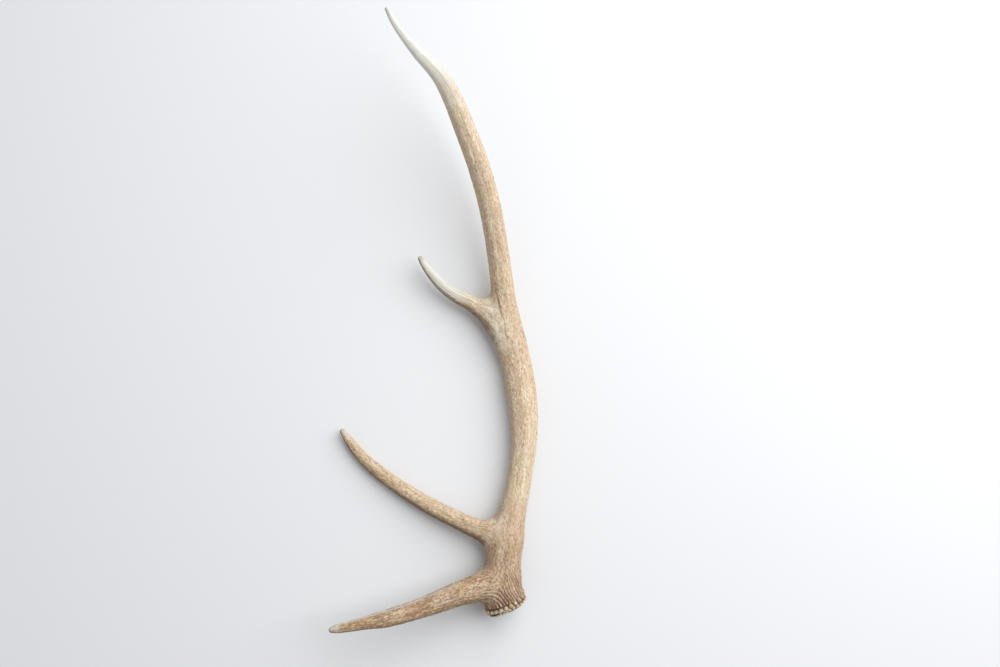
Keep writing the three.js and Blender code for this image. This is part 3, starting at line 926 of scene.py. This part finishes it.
def add_range(tree, value, low, high, lowest=0.0, highest=1.0):
    """A smooth change from lowest to highest as value goes from low to high."""
    node = add_node(tree, "ShaderNodeMapRange", interpolation_type="SMOOTHSTEP")
    tree.links.new(value, node.inputs["Value"])
    keys = ("From Min", "From Max", "To Min", "To Max")
    for key, number in zip(keys, (low, high, lowest, highest)):
        node.inputs[key].default_value = number
    return node.outputs["Result"]


def bone_mask(tree, key):
    """One of the masks that the skins carry."""
    node = add_node(tree, "ShaderNodeAttribute", attribute_type="GEOMETRY")
    node.attribute_name = f"bone_{key}"
    return node.outputs["Fac"]


def grain(tree, where, scale, detail=3.0):
    """Noise in the antler's own space."""
    node = add_node(tree, "ShaderNodeTexNoise", Scale=scale, Detail=detail, Roughness=0.6)
    tree.links.new(where, node.inputs["Vector"])
    return node.outputs["Fac"]


def opaque(colour):
    """A colour with full alpha."""
    return tuple(colour) + (1.0,)


def bone_material(colours):
    """Antler bone: brown, tan and cream flecks, grey streaks, ivory where it is worn, a painted
    highlight of ivory along the brow tine's upper edge, dark grime in the grooves, and painted
    shade in the streak and grime colours down the limbs' left sides; glossier where it is ivory,
    dull and rough in the grooves."""
    material = bpy.data.materials.new("antler_bone")
    material.use_nodes = True
    tree = material.node_tree
    tree.nodes.clear()
    where = add_node(tree, "ShaderNodeTexCoord").outputs["Object"]
    fine = grain(tree, where, 620.0)
    broad = grain(tree, where, 140.0)
    lift = add_math(tree, "MULTIPLY", fine, 0.7)
    tone = add_math(tree, "ADD", bone_mask(tree, "tone"), lift)
    tone = add_math(tree, "SUBTRACT", tone, 0.35)
    dark, body, light = map(opaque, (colours.brown, colours.tan, colours.cream))
    colour = add_mix(tree, add_range(tree, tone, 0.12, 0.5), dark, body)
    colour = add_mix(tree, add_range(tree, tone, 0.5, 0.88), colour, light)
    rust = add_math(tree, "MULTIPLY", bone_mask(tree, "rust"), add_range(tree, broad, 0.4, 0.65))
    rust = add_math(tree, "MULTIPLY", rust, 0.45)
    colour = add_mix(tree, rust, colour, opaque(colours.rust))
    for key, tint in (("ochre", colours.ochre), ("rose", colours.rose)):
        share = add_range(tree, bone_mask(tree, key), 0.0, 1.0)
        colour = add_mix(tree, share, colour, opaque(tint), "MULTIPLY")
    dots = add_math(tree, "MULTIPLY", bone_mask(tree, "dash"), 0.6)
    colour = add_mix(tree, dots, colour, opaque(colours.dot))
    # Ivory for worn bone, and a painted highlight along the brow tine's upper edge.
    pale = bone_mask(tree, "pale")
    worn = add_math(tree, "MULTIPLY", pale, add_range(tree, fine, 0.1, 0.5, 0.7, 1.0))
    colour = add_mix(tree, worn, colour, opaque(colours.ivory))
    # Streak colour: fine lengthwise lines, and painted shade on the limbs' left sides.
    streak = add_math(tree, "MULTIPLY", bone_mask(tree, "streak"), 0.4, clamp=True)
    colour = add_mix(tree, streak, colour, opaque(colours.streak))
    # Grime in grooves, between pearls and at tips, and a band of painted shade along the limbs'
    # left edges.
    soil_and_shade = bone_mask(tree, "soil_and_shade")
    dirt_and_shade = add_math(tree, "MULTIPLY", soil_and_shade, add_range(tree, broad, 0.2, 0.6, 0.65, 0.95))
    colour = add_mix(tree, dirt_and_shade, colour, opaque(colours.soil_and_shade))
    rough = add_math(tree, "MULTIPLY", fine, 0.2)
    rough = add_math(tree, "ADD", rough, 0.5)
    rough = add_math(tree, "SUBTRACT", rough, add_math(tree, "MULTIPLY", pale, 0.16))
    rough = add_math(tree, "ADD", rough, add_math(tree, "MULTIPLY", soil_and_shade, 0.25), clamp=True)
    bump = add_node(tree, "ShaderNodeBump", Strength=0.55, Distance=0.00035)
    tree.links.new(fine, bump.inputs["Height"])
    shader = add_node(tree, "ShaderNodeBsdfPrincipled", IOR=1.5)
    tree.links.new(colour, shader.inputs["Base Color"])
    tree.links.new(rough, shader.inputs["Roughness"])
    tree.links.new(bump.outputs["Normal"], shader.inputs["Normal"])
    output = add_node(tree, "ShaderNodeOutputMaterial")
    tree.links.new(shader.outputs["BSDF"], output.inputs["Surface"])
    return material


def shared_bone(context):
    """The one bone material, made at its first use."""
    return bpy.data.materials.get("antler_bone") or bone_material(context.scene.antler_colours)


def make_floor(colour):
    """A wide plain floor just under the antler."""
    half = FLOOR_HALF
    corners = [(-half, -half, 0), (half, -half, 0), (half, half, 0), (-half, half, 0)]
    mesh = bpy.data.meshes.new("floor")
    mesh.from_pydata(corners, [], [(0, 1, 2, 3)])
    floor = bpy.data.objects.new("floor", mesh)
    bpy.context.scene.collection.objects.link(floor)
    material = bpy.data.materials.new("plain_floor")
    material.use_nodes = True
    shader = material.node_tree.nodes["Principled BSDF"]
    shader.inputs["Base Color"].default_value = opaque(colour)
    shader.inputs["Roughness"].default_value = 0.9
    shader.inputs["Specular IOR Level"].default_value = 0.2
    mesh.materials.append(material)


def make_light(name, place, size, power):
    """A soft square light that faces the antler."""
    data = bpy.data.lights.new(name, "AREA")
    data.size = size
    data.energy = power
    light = bpy.data.objects.new(name, data)
    light.location = place
    light.rotation_euler = (-Vector(place)).to_track_quat("-Z", "Y").to_euler()
    bpy.context.scene.collection.objects.link(light)


def make_camera():
    """A camera that looks down on the antler, a little from its burr end and tine side."""
    data = bpy.data.cameras.new("camera")
    data.lens = CAMERA_LENS
    data.sensor_width = CAMERA_SENSOR
    camera = bpy.data.objects.new("camera", data)
    camera.location = CAMERA_PLACE
    camera.rotation_euler = [math.radians(angle) for angle in CAMERA_TURN]
    bpy.context.scene.collection.objects.link(camera)
    bpy.context.scene.camera = camera


def length_property(name, description, default, precision=4):
    """A small length that the panel can change."""
    return FloatProperty(
        name=name,
        description=description,
        default=default,
        precision=precision,
        unit="LENGTH",
        subtype="DISTANCE",
    )


class AntlerShape(bpy.types.PropertyGroup):
    """Sizes of the bone's relief."""

    pearl_count: IntProperty(
        name="Pearls", description="Tall pearls round the burr", default=22, min=8, max=40
    )
    pearl_height: length_property(
        "Pearl height", "How far a pearl stands out from the burr's ring", 0.0039
    )
    wrinkle_depth: length_property(
        "Wrinkle depth", "Depth of the wrinkles that rise from the burr", 0.0018
    )
    bead_height: length_property(
        "Bead height", "Height of the small beads on rough bone", 0.00045, 5
    )
    furrow_depth: length_property(
        "Furrow depth", "Depth of the fine lengthwise furrows", 0.00038, 5
    )


def colour_property(name, description, default):
    """A colour that the panel can change."""
    return FloatVectorProperty(
        name=name, description=description, default=default, size=3, min=0, max=1, subtype="COLOR"
    )


class AntlerColours(bpy.types.PropertyGroup):
    """Colours of the bone and the floor."""

    brown: colour_property("Brown", "Darkest flecks of the bone", (0.3, 0.18, 0.1))
    tan: colour_property("Tan", "Body colour of the bone", (0.575, 0.435, 0.305))
    cream: colour_property("Cream", "Lightest flecks of the bone", (0.8, 0.67, 0.48))
    # Also paints a highlight along the brow tine's upper edge.
    ivory: colour_property("Ivory", "Worn tips, webs and pearl caps", (0.705, 0.7, 0.625))
    rust: colour_property("Rust", "Reddish stains", (0.42, 0.21, 0.115))
    ochre: colour_property("Ochre tint", "Tint of the yellower patches", (0.96, 0.94, 0.76))
    rose: colour_property("Rose tint", "Tint of the pinker patches", (0.97, 0.88, 0.88))
    # Also paints shade on the limbs' left sides.
    streak: colour_property("Streak", "Fine lengthwise lines", (0.27, 0.19, 0.125))
    dot: colour_property("Dot", "Small dots", (0.25, 0.125, 0.08))
    # Also paints shade along the limbs' left edges.
    soil_and_shade: colour_property("Soil", "Dirt in grooves and between pearls", (0.045, 0.028, 0.018))
    floor: colour_property("Floor", "The plain floor", (0.76, 0.77, 0.785))


class AntlerStudio(bpy.types.PropertyGroup):
    """Strength of the studio's lights."""

    key_power: FloatProperty(
        name="Key light", description="Power of the soft main light", default=49.0, unit="POWER"
    )
    fill_power: FloatProperty(
        name="Fill light", description="Power of the weak second light", default=4.0, unit="POWER"
    )
    sky: FloatProperty(
        name="Surroundings", description="Brightness of the pale surroundings", default=0.38
    )


class ANTLER_OT_beam(bpy.types.Operator):
    """Build the lower and upper main beam"""

    bl_idname = "antler.beam"
    bl_label = "Main beam"

    def execute(self, context):
        make_beam(shape_values(context), shared_bone(context))
        return {"FINISHED"}


class ANTLER_OT_tines(bpy.types.Operator):
    """Build the brow, bez and trez tines"""

    bl_idname = "antler.tines"
    bl_label = "Tines"

    def execute(self, context):
        shape = shape_values(context)
        for name, slot in (("brow", "brown_bone"), ("bez", "tan_bone"), ("trez", "pale_bone")):
            make_tine(name, shape, shared_bone(context), slot)
        return {"FINISHED"}


class ANTLER_OT_burr(bpy.types.Operator):
    """Build the burr with its pearls and seal"""

    bl_idname = "antler.burr"
    bl_label = "Burr"

    def execute(self, context):
        make_burr(shape_values(context), shared_bone(context))
        return {"FINISHED"}


class ANTLER_OT_stage(bpy.types.Operator):
    """Set up the floor, the lights and the camera"""

    bl_idname = "antler.stage"
    bl_label = "Floor, lights and camera"

    def execute(self, context):
        studio = context.scene.antler_studio
        make_floor(context.scene.antler_colours.floor)
        for light, power in zip(LIGHTS, (studio.key_power, studio.fill_power)):
            make_light(*light, power)
        world = bpy.data.worlds.new("surroundings")
        world.use_nodes = True
        background = world.node_tree.nodes["Background"]
        background.inputs["Color"].default_value = SKY_COLOUR
        background.inputs["Strength"].default_value = studio.sky
        context.scene.world = world
        context.scene.view_settings.view_transform = "Standard"
        make_camera()
        return {"FINISHED"}


class ANTLER_PT_panel(bpy.types.Panel):
    """The antler's panel in the 3D view's sidebar"""

    bl_label = "Deer antler"
    bl_idname = "ANTLER_PT_panel"
    bl_space_type = "VIEW_3D"
    bl_region_type = "UI"
    bl_category = "Antler"

    def draw(self, context):
        for group in (
            context.scene.antler_shape,
            context.scene.antler_colours,
            context.scene.antler_studio,
        ):
            box = self.layout.box()
            for key in group.__annotations__:
                box.prop(group, key)
        for operator in OPERATORS:
            self.layout.operator(operator.bl_idname)


GROUPS = {
    "antler_shape": AntlerShape,
    "antler_colours": AntlerColours,
    "antler_studio": AntlerStudio,
}
OPERATORS = (ANTLER_OT_beam, ANTLER_OT_tines, ANTLER_OT_burr, ANTLER_OT_stage)


def register():
    for key, group in GROUPS.items():
        bpy.utils.register_class(group)
        setattr(bpy.types.Scene, key, PointerProperty(type=group))
    for kind in (*OPERATORS, ANTLER_PT_panel):
        bpy.utils.register_class(kind)


def unregister():
    for kind in (ANTLER_PT_panel, *reversed(OPERATORS)):
        bpy.utils.unregister_class(kind)
    for key, group in GROUPS.items():
        delattr(bpy.types.Scene, key)
        bpy.utils.unregister_class(group)


def main():
    register()
    bpy.ops.antler.beam()
    bpy.ops.antler.tines()
    bpy.ops.antler.burr()
    bpy.ops.antler.stage()


if __name__ == "__main__":
    main()
